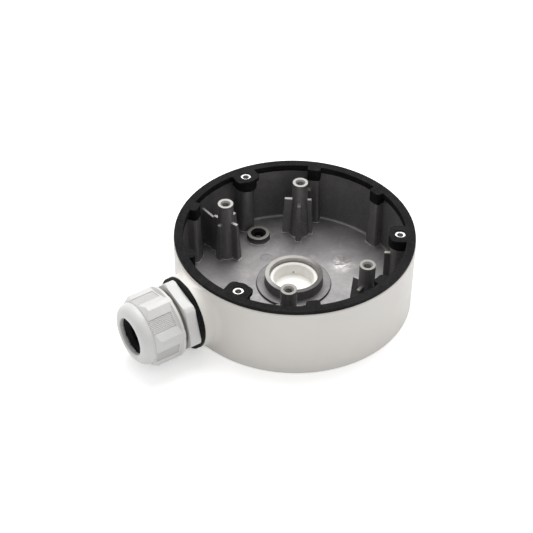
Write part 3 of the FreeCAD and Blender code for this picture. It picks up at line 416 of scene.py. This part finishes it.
def makePowderCoat(tree, soft):
    look = powderCoat
    color = tree.mix(tree.pattern(look["cloud"]), look["shade"], look["tone"])
    rough = tree.drift(look["drift"], *look["roughness"])
    normal = tree.bump(tree.noise(*look["peel"]), *look["peelBump"], soft)
    return tree.surface(Base_Color=color, Roughness=rough, Normal=normal)


def makeHousingMaterial():
    # bare inside, powder coated outside and on the back
    tree = Tree("castHousing")
    at = findCastPlaces(tree)
    soft = tree.rounded(castGrain["edgeRadius"])
    bare = makeBareCasting(tree, at, soft)
    coat = makePowderCoat(tree, soft)
    return tree.finish(tree.join("ShaderNodeMixShader", at["painted"], bare, coat))


gasketRubber = {
    "tone": (0.0060, 0.0058, 0.0058),
    "rubbed": (0.0120, 0.0116, 0.0116),
    "roughness": (0.58, 0.74),
    "gloss": 0.085,
}
sealRubber = {
    "tone": (0.004, 0.004, 0.0045),
    "rubbed": (0.008, 0.008, 0.0085),
    "roughness": (0.50, 0.64),
    "gloss": 0.07,
}
rubberGrain = {
    "edgeRadius": 0.3 * mm,
    "edges": (0.03, 0.3, 0.0, 0.35),
    "cloud": ((90.0, 4.0, 0.6), (0.35, 0.7)),
    "dust": ((900.0, 3.0, 0.65), (0.50, 0.74, 0.0, 0.55)),
    "dustLight": 2.6,
    "drift": (500.0, 3.0, 0.6),
    "fine": (3000.0, 3.0, 0.6),
    "coarse": (1100.0, 3.0, 0.6),
    "bump": (0.04 * mm, 0.6),
}


def makeRubber(name, rubber):
    # matt black, with dust in its pores and rubbed edges
    tree = Tree(name)
    look = rubberGrain
    soft = tree.rounded(look["edgeRadius"])
    dusty = tuple(look["dustLight"] * part for part in rubber["rubbed"])
    color = tree.layers(
        rubber["tone"],
        (tree.pattern(look["cloud"]), rubber["rubbed"]),
        (tree.pattern(look["dust"]), dusty),
        (tree.edges(soft, *look["edges"]), rubber["rubbed"]),
    )
    pores = tree.math("ADD", tree.noise(*look["fine"]), tree.noise(*look["coarse"]))
    rough = tree.drift(look["drift"], *rubber["roughness"])
    normal = tree.bump(pores, *look["bump"], soft)
    return tree.finish(tree.surface(Base_Color=color, Roughness=rough, Normal=normal,
                                    Specular_IOR_Level=rubber["gloss"]))


threadMetal = {
    "tone": (0.080, 0.072, 0.066),
    "paintedGlint": (0.27, 0.25, 0.235),
    "metallic": 0.95,
    "edgeRadius": 0.05 * mm,
    "cloud": ((900.0, 3.0, 0.6), (0.35, 0.65)),
    "drift": (1500.0, 3.0, 0.6),
    "roughness": (0.26, 0.42),
    "cuts": (4000.0, 2.0, 0.5),
    "cutBump": (0.01 * mm, 0.4),
}


def makeThreadMetal():
    # metal painted dark as painted shade down in the holes, with lighter patches as painted glints
    tree = Tree("threadMetal")
    look = threadMetal
    color = tree.mix(tree.pattern(look["cloud"]), look["tone"], look["paintedGlint"])
    rough = tree.drift(look["drift"], *look["roughness"])
    normal = tree.bump(tree.noise(*look["cuts"]), *look["cutBump"], tree.rounded(look["edgeRadius"]))
    return tree.finish(tree.surface(Base_Color=color, Metallic=look["metallic"], Roughness=rough,
                                    Normal=normal))


plasticGrain = {
    "edgeRadius": 0.3 * mm,
    "cloud": ((60.0, 3.0, 0.5, 0.6), (0.35, 0.65)),
    "drift": (350.0, 3.0, 0.5),
    "skin": (1400.0, 2.0, 0.5),
    "skinBump": (0.02 * mm, 0.3),
    "gloss": 0.5,
}
plugPlastic = {
    "tone": (0.93, 0.92, 0.885),
    "shade": (0.90, 0.88, 0.845),
    "plugWallShade": (0.865, 0.85, 0.815),
    "facingUp": (0.3, 0.8),
    "gateTone": (0.30, 0.24, 0.18),
    "gateCentre": (-5.6 * mm, -11.7 * mm, 6.2 * mm),
    "gateEdge": (0.5 * mm, 1.1 * mm, 0.75, 0.0),
    "roughness": (0.36, 0.48),
}
glandPlastic = {
    "tone": (0.70, 0.695, 0.68),
    "shade": (0.665, 0.66, 0.645),
    "nutRoughness": (0.34, 0.46),
    "bodyRoughness": (0.38, 0.50),
    "valleyShadeTone": (0.625, 0.615, 0.60),
    "valleyShade": (20.68 * mm, 20.92 * mm, 1.0, 0.0),
    "panelHalf": 4.9 * mm,
    "panelStart": (101.9 * mm, 102.0 * mm),
    "panelEnd": (118.2 * mm, 118.3 * mm, 1.0, 0.0),
    "nutTurn": math.radians(44.3),
    "neckShade": (0.29, 0.275, 0.255),
    "neckFrom": 95.1 * mm,
    "neckInside": 17.0 * mm,
    "threadDepth": (18.7 * mm, 20.6 * mm, 1.0, 0.0),
}


def startPlastic(name, plastic):
    tree = Tree(name)
    return tree, tree.mix(tree.pattern(plasticGrain["cloud"]), plastic["tone"], plastic["shade"])


def finishPlastic(tree, color, roughness):
    look = plasticGrain
    rough = tree.drift(look["drift"], *roughness)
    normal = tree.bump(tree.noise(*look["skin"]), *look["skinBump"], tree.rounded(look["edgeRadius"]))
    return tree.finish(tree.surface(Base_Color=color, Roughness=rough, Normal=normal,
                                    Specular_IOR_Level=look["gloss"]))


def makePlugPlastic():
    # white moulding, with its sideways walls painted darker as painted shade, and the brown mark of the
    # gate
    look = plugPlastic
    tree, color = startPlastic("plugPlastic", look)
    x, y, z = tree.split(tree.coords)
    # painted shade on the surfaces that do not face up
    color = tree.mix(tree.facingUp(*look["facingUp"]), look["plugWallShade"], color)
    gateX, gateY, gateZ = look["gateCentre"]
    fromGate = tree.away(tree.away(x, y, gateX, gateY), z, 0.0, gateZ)
    color = tree.mix(tree.step(fromGate, *look["gateEdge"]), color, look["gateTone"])
    return finishPlastic(tree, color, look["roughness"])


def findGlandPlace(tree):
    # sideways and up from the gland's axis, and outwards from the box's centre
    x, y, z = tree.split(tree.coords)
    side = tree.along(x, y, (glandSide.x, glandSide.y))
    outwards = tree.along(x, y, (glandAxis.x, glandAxis.y))
    return side, tree.math("SUBTRACT", z, glandHeight), outwards


def makeNutPlastic():
    # light grey moulding, with painted shade between the grip ribs of its panels
    look = glandPlastic
    tree, color = startPlastic("nutPlastic", look)
    side, rise, outwards = findGlandPlace(tree)
    turn = tree.math("SUBTRACT", tree.math("ARCTAN2", rise, side), look["nutTurn"])
    fromFlat = tree.math("PINGPONG", tree.math("ADD", turn, 4 * sixth), sixth / 2)
    reach = tree.away(side, rise)
    depth = tree.times(reach, tree.math("COSINE", fromFlat))
    across = tree.times(reach, tree.math("SINE", fromFlat))
    valleyShade = tree.times(tree.step(depth, *look["valleyShade"]), tree.step(outwards, *look["panelStart"]),
                        tree.step(outwards, *look["panelEnd"]),
                        tree.math("LESS_THAN", across, look["panelHalf"]))
    return finishPlastic(tree, tree.mix(valleyShade, color, look["valleyShadeTone"]), look["nutRoughness"])


def makeBodyPlastic():
    # the same plastic, with painted shade down in the thread between the hexagon and the nut
    look = glandPlastic
    tree, color = startPlastic("bodyPlastic", look)
    side, rise, outwards = findGlandPlace(tree)
    fromAxis = tree.away(side, rise)
    threadShade = tree.times(tree.math("GREATER_THAN", fromAxis, look["neckInside"]),
                          tree.step(fromAxis, *look["threadDepth"]),
                          tree.math("GREATER_THAN", outwards, look["neckFrom"]))
    return finishPlastic(tree, tree.mix(threadShade, color, look["neckShade"]), look["bodyRoughness"])


housingFinish = makeHousingMaterial()
gasketFinish = makeRubber("gasketRubber", gasketRubber)
sealFinish = makeRubber("sealRubber", sealRubber)
plugFinish = makePlugPlastic()
nutFinish = makeNutPlastic()
bodyFinish = makeBodyPlastic()
threadFinish = makeThreadMetal()
finishes = {
    "housing": housingFinish,
    "rim_gasket": gasketFinish,
    "rear_entry_plug": plugFinish,
    "rear_plug_seal": sealFinish,
    "wall_screw_seal_1": sealFinish,
    "wall_screw_seal_2": sealFinish,
    "gland_body": bodyFinish,
    "gland_washer": sealFinish,
    "gland_clamping_cage": bodyFinish,
    "gland_cable_seal": sealFinish,
    "gland_dome_nut": nutFinish,
}
for name, finish in finishes.items():
    mesh = nodes[name].data
    mesh.materials.clear()
    mesh.materials.append(finish)
print("materials: done")


threadForm = {
    "halfHeight": 0.42,  # against the pitch
    "runOut": 1.6,  # depth that a thread gains in one turn from its end
    "endSize": 0.12,  # depth at its very end
    "steps": 40,  # in one turn
}


def makeThreadNodes():
    # a diamond swept up a helix that runs out at both ends, set on every point of the piece
    group = bpy.data.node_groups.new("threadRidge", "GeometryNodeTree")
    sizes = {"Places": "Geometry", "Radius": "Float", "Pitch": "Float", "Turns": "Float", "Ridge": "Float",
             "Steps": "Int", "Finish": "Material"}
    for name, kind in sizes.items():
        group.interface.new_socket(name, in_out="INPUT", socket_type="NodeSocket" + kind)
    group.interface.new_socket("Thread", in_out="OUTPUT", socket_type="NodeSocketGeometry")
    given = group.nodes.new("NodeGroupInput").outputs
    result = group.nodes.new("NodeGroupOutput").inputs[0]

    def add(kind, **settings):
        node = group.nodes.new(kind)
        for name, value in settings.items():
            setattr(node, name, value)
        return node

    def link(output, *inputs):
        for socket in inputs:
            group.links.new(output, socket)

    def maths(operation, first, second, clamped=False):
        node = add("ShaderNodeMath", operation=operation, use_clamp=clamped)
        for socket, value in zip(node.inputs, (first, second)):
            if isinstance(value, float):
                socket.default_value = value
            else:
                link(value, socket)
        return node.outputs[0]

    helix = add("GeometryNodeCurveSpiral")
    link(given["Steps"], helix.inputs["Resolution"])
    link(given["Turns"], helix.inputs["Rotations"])
    link(given["Radius"], helix.inputs["Start Radius"], helix.inputs["End Radius"])
    link(maths("MULTIPLY", given["Pitch"], given["Turns"]), helix.inputs["Height"])
    level = add("GeometryNodeSetCurveNormal", mode="Z_UP")
    link(helix.outputs[0], level.inputs["Curve"])
    profile = add("GeometryNodeCurvePrimitiveQuadrilateral", mode="KITE")
    link(maths("MULTIPLY", given["Ridge"], 2.0), profile.inputs["Width"])
    link(maths("MULTIPLY", given["Pitch"], threadForm["halfHeight"]),
         profile.inputs["Bottom Height"], profile.inputs["Top Height"])
    share = add("GeometryNodeSplineParameter").outputs["Factor"]
    nearerEnd = maths("MINIMUM", share, maths("SUBTRACT", 1.0, share))
    fullDepth = maths("MULTIPLY", maths("MULTIPLY", nearerEnd, given["Turns"]), threadForm["runOut"], True)
    sweep = add("GeometryNodeCurveToMesh")
    sweep.inputs["Fill Caps"].default_value = True
    link(level.outputs[0], sweep.inputs["Curve"])
    link(profile.outputs[0], sweep.inputs["Profile Curve"])
    link(maths("MAXIMUM", fullDepth, threadForm["endSize"]), sweep.inputs["Scale"])
    places = add("GeometryNodeInstanceOnPoints")
    link(given["Places"], places.inputs["Points"])
    link(sweep.outputs[0], places.inputs["Instance"])
    real = add("GeometryNodeRealizeInstances")
    link(places.outputs[0], real.inputs[0])
    coat = add("GeometryNodeSetMaterial")
    link(real.outputs[0], coat.inputs["Geometry"])
    link(given["Finish"], coat.inputs["Material"])
    link(coat.outputs[0], result)
    return group


threadNodes = makeThreadNodes()


def addPiece(name, mesh):
    piece = bpy.data.objects.new(name, mesh)
    bpy.context.scene.collection.objects.link(piece)
    return piece


def finishPiece(piece, place=Matrix.Identity(4), sharpFrom=math.radians(32)):
    # closed faces outwards, smooth but for its sharp edges, riding on the box
    mesh = piece.data
    mesh.transform(place)
    shape = bmesh.new()
    shape.from_mesh(mesh)
    if shape.calc_volume(signed=True) < 0:
        bmesh.ops.reverse_faces(shape, faces=shape.faces)
    shape.to_mesh(mesh)
    shape.free()
    mesh.shade_smooth()
    mesh.set_sharp_from_angle(angle=sharpFrom)
    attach(piece, "box")


def makeThread(name, points, sizes, finish, place=Matrix.Identity(4)):
    seats = bpy.data.meshes.new(name)
    seats.from_pydata(points, [], [])
    piece = addPiece(name, seats)
    modifier = piece.modifiers.new("thread", "NODES")
    modifier.node_group = threadNodes
    values = {"Steps": threadForm["steps"], "Finish": finish, **sizes}
    for item in threadNodes.interface.items_tree:
        if item.name in values:
            modifier[item.identifier] = values[item.name]
    evaluated = piece.evaluated_get(bpy.context.evaluated_depsgraph_get())
    mesh = bpy.data.meshes.new_from_object(evaluated)
    piece.modifiers.clear()
    piece.data = mesh
    finishPiece(piece, place)


rimThreads = {
    "firstTurn": math.radians(23.5),  # from the gland
    "top": 49.6 * mm,
    "pitch": 0.7 * mm,
    "turns": 17.0,
    "ridge": 0.27 * mm,
}
bossThreads = {
    "top": 48.2 * mm,
    "pitch": 0.8 * mm,
    "turns": 17.0,
    "ridge": 0.27 * mm,
}


def makeTappedThread(name, centres, thread, hole):
    bottom = thread["top"] - thread["pitch"] * thread["turns"]
    sizes = {"Radius": hole["hole_r_mm"] * mm, "Pitch": thread["pitch"], "Turns": thread["turns"],
             "Ridge": thread["ridge"]}
    makeThread(name, [(x, y, bottom) for x, y in centres], sizes, threadFinish)


def makeRimThreads():
    screws = mounts["rim_screws"]
    circle = screws["pcd_mm"] / 2 * mm
    first = glandAngle + rimThreads["firstTurn"]
    angles = [first + math.tau * k / screws["count"] for k in range(screws["count"])]
    centres = [(circle * math.cos(angle), circle * math.sin(angle)) for angle in angles]
    makeTappedThread("rim_screw_threads", centres, rimThreads, screws)


def makeBossThreads():
    bosses = mounts["camera_bosses"]
    halfX = bosses["spacing_x_mm"] / 2 * mm
    halfY = bosses["spacing_y_mm"] / 2 * mm
    centres = [(x, y) for x in (-halfX, halfX) for y in (-halfY, halfY)]
    makeTappedThread("camera_boss_threads", centres, bossThreads, bosses)


# lengths of the gland's body are from the box's centre, along the gland
glandBody = {
    "innerEnd": 73.8 * mm,
    "stubRadius": 16.5 * mm,
    "stubChamfer": 1.0 * mm,
    "hexFrom": 87.8 * mm,
    "hexTo": 95.2 * mm,
    "hexAcross": 43.0 * mm,
    "hexRound": 24.0 * mm,
    "hexTurn": math.radians(16.0),
    "hexChamfer": 0.9 * mm,
    "flatSteps": 10,  # on each side of a flat's middle
    "cornerSteps": 6,
    "edgeBreak": 0.25 * mm,
    "neckCore": 17.75 * mm,
    "neckEnd": 110.2 * mm,
    "neckChamfer": 0.8 * mm,
    "threadEnd": 109.5 * mm,
    "threadPitch": 1.5 * mm,
    "threadTurns": 9.2,
    "threadRidge": 0.82 * mm,
    "seatFrom": 97.8 * mm,
    "seatRadius": 16.4 * mm,
    "passage": 13.0 * mm,
}


def hexagonAngles():
    # angles all round, each with its angle from the middle of the nearest flat
    corner = math.acos(glandBody["hexAcross"] / 2 / glandBody["hexRound"])
    flatSteps, cornerSteps = glandBody["flatSteps"], glandBody["cornerSteps"]
    flat = [corner * k / flatSteps for k in range(-flatSteps, flatSteps + 1)]
    bend = [corner + (sixth - 2 * corner) * k / cornerSteps for k in range(1, cornerSteps)]
    return [(side * sixth + turn, turn if turn <= corner else turn - sixth)
            for side in range(6) for turn in flat + bend]


def sixSided(across, limit):
    # radius of a hexagon with its corners rounded off, by angle from the middle of a flat
    return lambda angle: min(across / 2 / math.cos(angle), limit)


def circular(radius):
    return lambda angle: radius


def glandBodyRings():
    # the outline of the body's section, from its inner end outwards and back through the bore
    body = glandBody
    small, chamfer = body["edgeBreak"], body["hexChamfer"]
    across, limit = body["hexAcross"], body["hexRound"]
    stub, core, neckEnd = body["stubRadius"], body["neckCore"], body["neckEnd"]
    return [
        (body["innerEnd"], circular(body["passage"])),
        (body["innerEnd"], circular(stub - body["stubChamfer"])),
        (body["innerEnd"] + body["stubChamfer"], circular(stub)),
        (body["hexFrom"], circular(stub)),
        (body["hexFrom"], sixSided(across - 2 * small, limit - small)),
        (body["hexFrom"] + small, sixSided(across, limit)),
        (body["hexTo"] - chamfer, sixSided(across, limit)),
        (body["hexTo"] - small, sixSided(across, limit - chamfer + small)),
        (body["hexTo"], sixSided(across - 2 * small, limit - chamfer - small)),
        (body["hexTo"], circular(core)),
        (neckEnd - body["neckChamfer"], circular(core)),
        (neckEnd, circular(core - body["neckChamfer"])),
        (neckEnd, circular(body["seatRadius"])),
        (body["seatFrom"], circular(body["seatRadius"])),
        (body["seatFrom"], circular(body["passage"])),
    ]


def makeGlandBody():
    rings = glandBodyRings()
    angles = hexagonAngles()
    points = []
    for along, radiusAt in rings:
        for angle, fromFlat in angles:
            reach = radiusAt(fromFlat)
            turn = angle + glandBody["hexTurn"]
            points.append((reach * math.cos(turn), reach * math.sin(turn), along))
    count = len(angles)
    faces = []
    for ring in range(len(rings)):
        start, following = ring * count, (ring + 1) % len(rings) * count
        for k in range(count):
            ahead = (k + 1) % count
            faces.append((start + k, start + ahead, following + ahead, following + k))
    mesh = bpy.data.meshes.new("gland_threaded_body")
    mesh.from_pydata(points, [], faces)
    mesh.materials.append(bodyFinish)
    piece = addPiece("gland_threaded_body", mesh)
    finishPiece(piece, glandPlace)
    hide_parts("gland_body")


def makeNeckThread():
    body = glandBody
    start = body["threadEnd"] - body["threadPitch"] * body["threadTurns"]
    sizes = {"Radius": body["neckCore"], "Pitch": body["threadPitch"], "Turns": body["threadTurns"],
             "Ridge": body["threadRidge"]}
    makeThread("gland_neck_thread", [(0, 0, start)], sizes, bodyFinish, glandPlace)


makeRimThreads()
makeBossThreads()
makeGlandBody()
makeNeckThread()
print("threads and gland body: done")


photoView = {
    "azimuth": 154.4,  # degrees, as the next two
    "elevation": 40.138,
    "roll": 0.3733,
    "lens": 97.546,
    "sensor": 36.0,
    "clip": (0.01, 50.0),
    "offset": (18.035 * mm, -16.796 * mm, 965.5 * mm),  # of the origin: right, up, ahead
}
studio = {
    "floorTone": 0.86,
    "floorVaries": 0.01,
    "floorCloud": (6.0, 2.0, 0.5),
    "floorRoughness": 0.9,
    "floorHalf": 12.0,
    "floorGlow": 0.42,
    "worldLight": 0.82,
    "keyPower": 12.5,
    "keySize": 1.1,
    "keyPlace": (-0.25, -0.45, 1.15),
}


def makeCamera():
    azimuth, elevation, roll = (math.radians(photoView[key]) for key in ("azimuth", "elevation", "roll"))
    ahead = Vector((-math.sin(azimuth) * math.cos(elevation), math.cos(azimuth) * math.cos(elevation),
                    -math.sin(elevation)))
    level = Vector((math.cos(azimuth), math.sin(azimuth), 0.0))
    above = level.cross(ahead)
    right = math.cos(roll) * level + math.sin(roll) * above
    up = -math.sin(roll) * level + math.cos(roll) * above
    across, rise, away = photoView["offset"]
    data = bpy.data.cameras.new("photoCamera")
    data.lens = photoView["lens"]
    data.sensor_width = photoView["sensor"]
    data.clip_start, data.clip_end = photoView["clip"]
    camera = addPiece("photoCamera", data)
    turn = Matrix((right, up, -ahead)).transposed().to_4x4()
    camera.matrix_world = Matrix.Translation(-(right * across + up * rise + ahead * away)) @ turn
    bpy.context.scene.camera = camera


def seenRay(tree):
    # 1 for rays from the camera, and for what gloss and glass show
    path = tree.nodes.new("ShaderNodeLightPath")
    seen = path.outputs["Is Camera Ray"]
    for kind in ("Is Glossy Ray", "Is Transmission Ray"):
        either = tree.nodes.new("ShaderNodeMath")
        either.operation = "MAXIMUM"
        tree.links.new(seen, either.inputs[0])
        tree.links.new(path.outputs[kind], either.inputs[1])
        seen = either.outputs[0]
    return seen


def makeFloor():
    tree = Tree("paleFloor")
    pale = (studio["floorTone"],) * 3
    paler = (studio["floorTone"] - studio["floorVaries"],) * 3
    color = tree.mix(tree.noise(*studio["floorCloud"]), pale, paler)
    matt = tree.surface(Base_Color=color, Roughness=studio["floorRoughness"], Specular_IOR_Level=0.0)
    glow = tree.nodes.new("ShaderNodeEmission")
    tree.links.new(tree.times(seenRay(tree), studio["floorGlow"]), glow.inputs["Strength"])
    finish = tree.finish(tree.join("ShaderNodeAddShader", matt, glow.outputs[0]))
    mesh = bpy.data.meshes.new("studioFloor")
    half, bottom = studio["floorHalf"], cadBox[0].z
    corners = [(-half, -half, bottom), (half, -half, bottom), (half, half, bottom), (-half, half, bottom)]
    mesh.from_pydata(corners, [], [(0, 1, 2, 3)])
    mesh.materials.append(finish)
    floor = addPiece("studioFloor", mesh)


def makeLight():
    world = bpy.data.worlds.new("studioWorld")
    bpy.context.scene.world = world
    world.use_nodes = True
    tree = world.node_tree
    tree.nodes.clear()
    output = tree.nodes.new("ShaderNodeOutputWorld")
    background = tree.nodes.new("ShaderNodeBackground")
    strength = tree.nodes.new("ShaderNodeMapRange")
    tree.links.new(seenRay(tree), strength.inputs["Value"])
    strength.inputs["To Min"].default_value = studio["worldLight"]
    strength.inputs["To Max"].default_value = 1.0
    tree.links.new(strength.outputs["Result"], background.inputs["Strength"])
    tree.links.new(background.outputs[0], output.inputs["Surface"])
    key = bpy.data.lights.new("keyLight", "AREA")
    key.shape = "DISK"
    key.size = studio["keySize"]
    key.energy = studio["keyPower"]
    lamp = addPiece("keyLight", key)
    lamp.location = studio["keyPlace"]
    lamp.rotation_euler = (-Vector(studio["keyPlace"])).to_track_quat("-Z", "Y").to_euler()


makeCamera()
makeFloor()
makeLight()
bpy.context.scene.view_settings.view_transform = "Standard"
print("camera, floor and light: done")
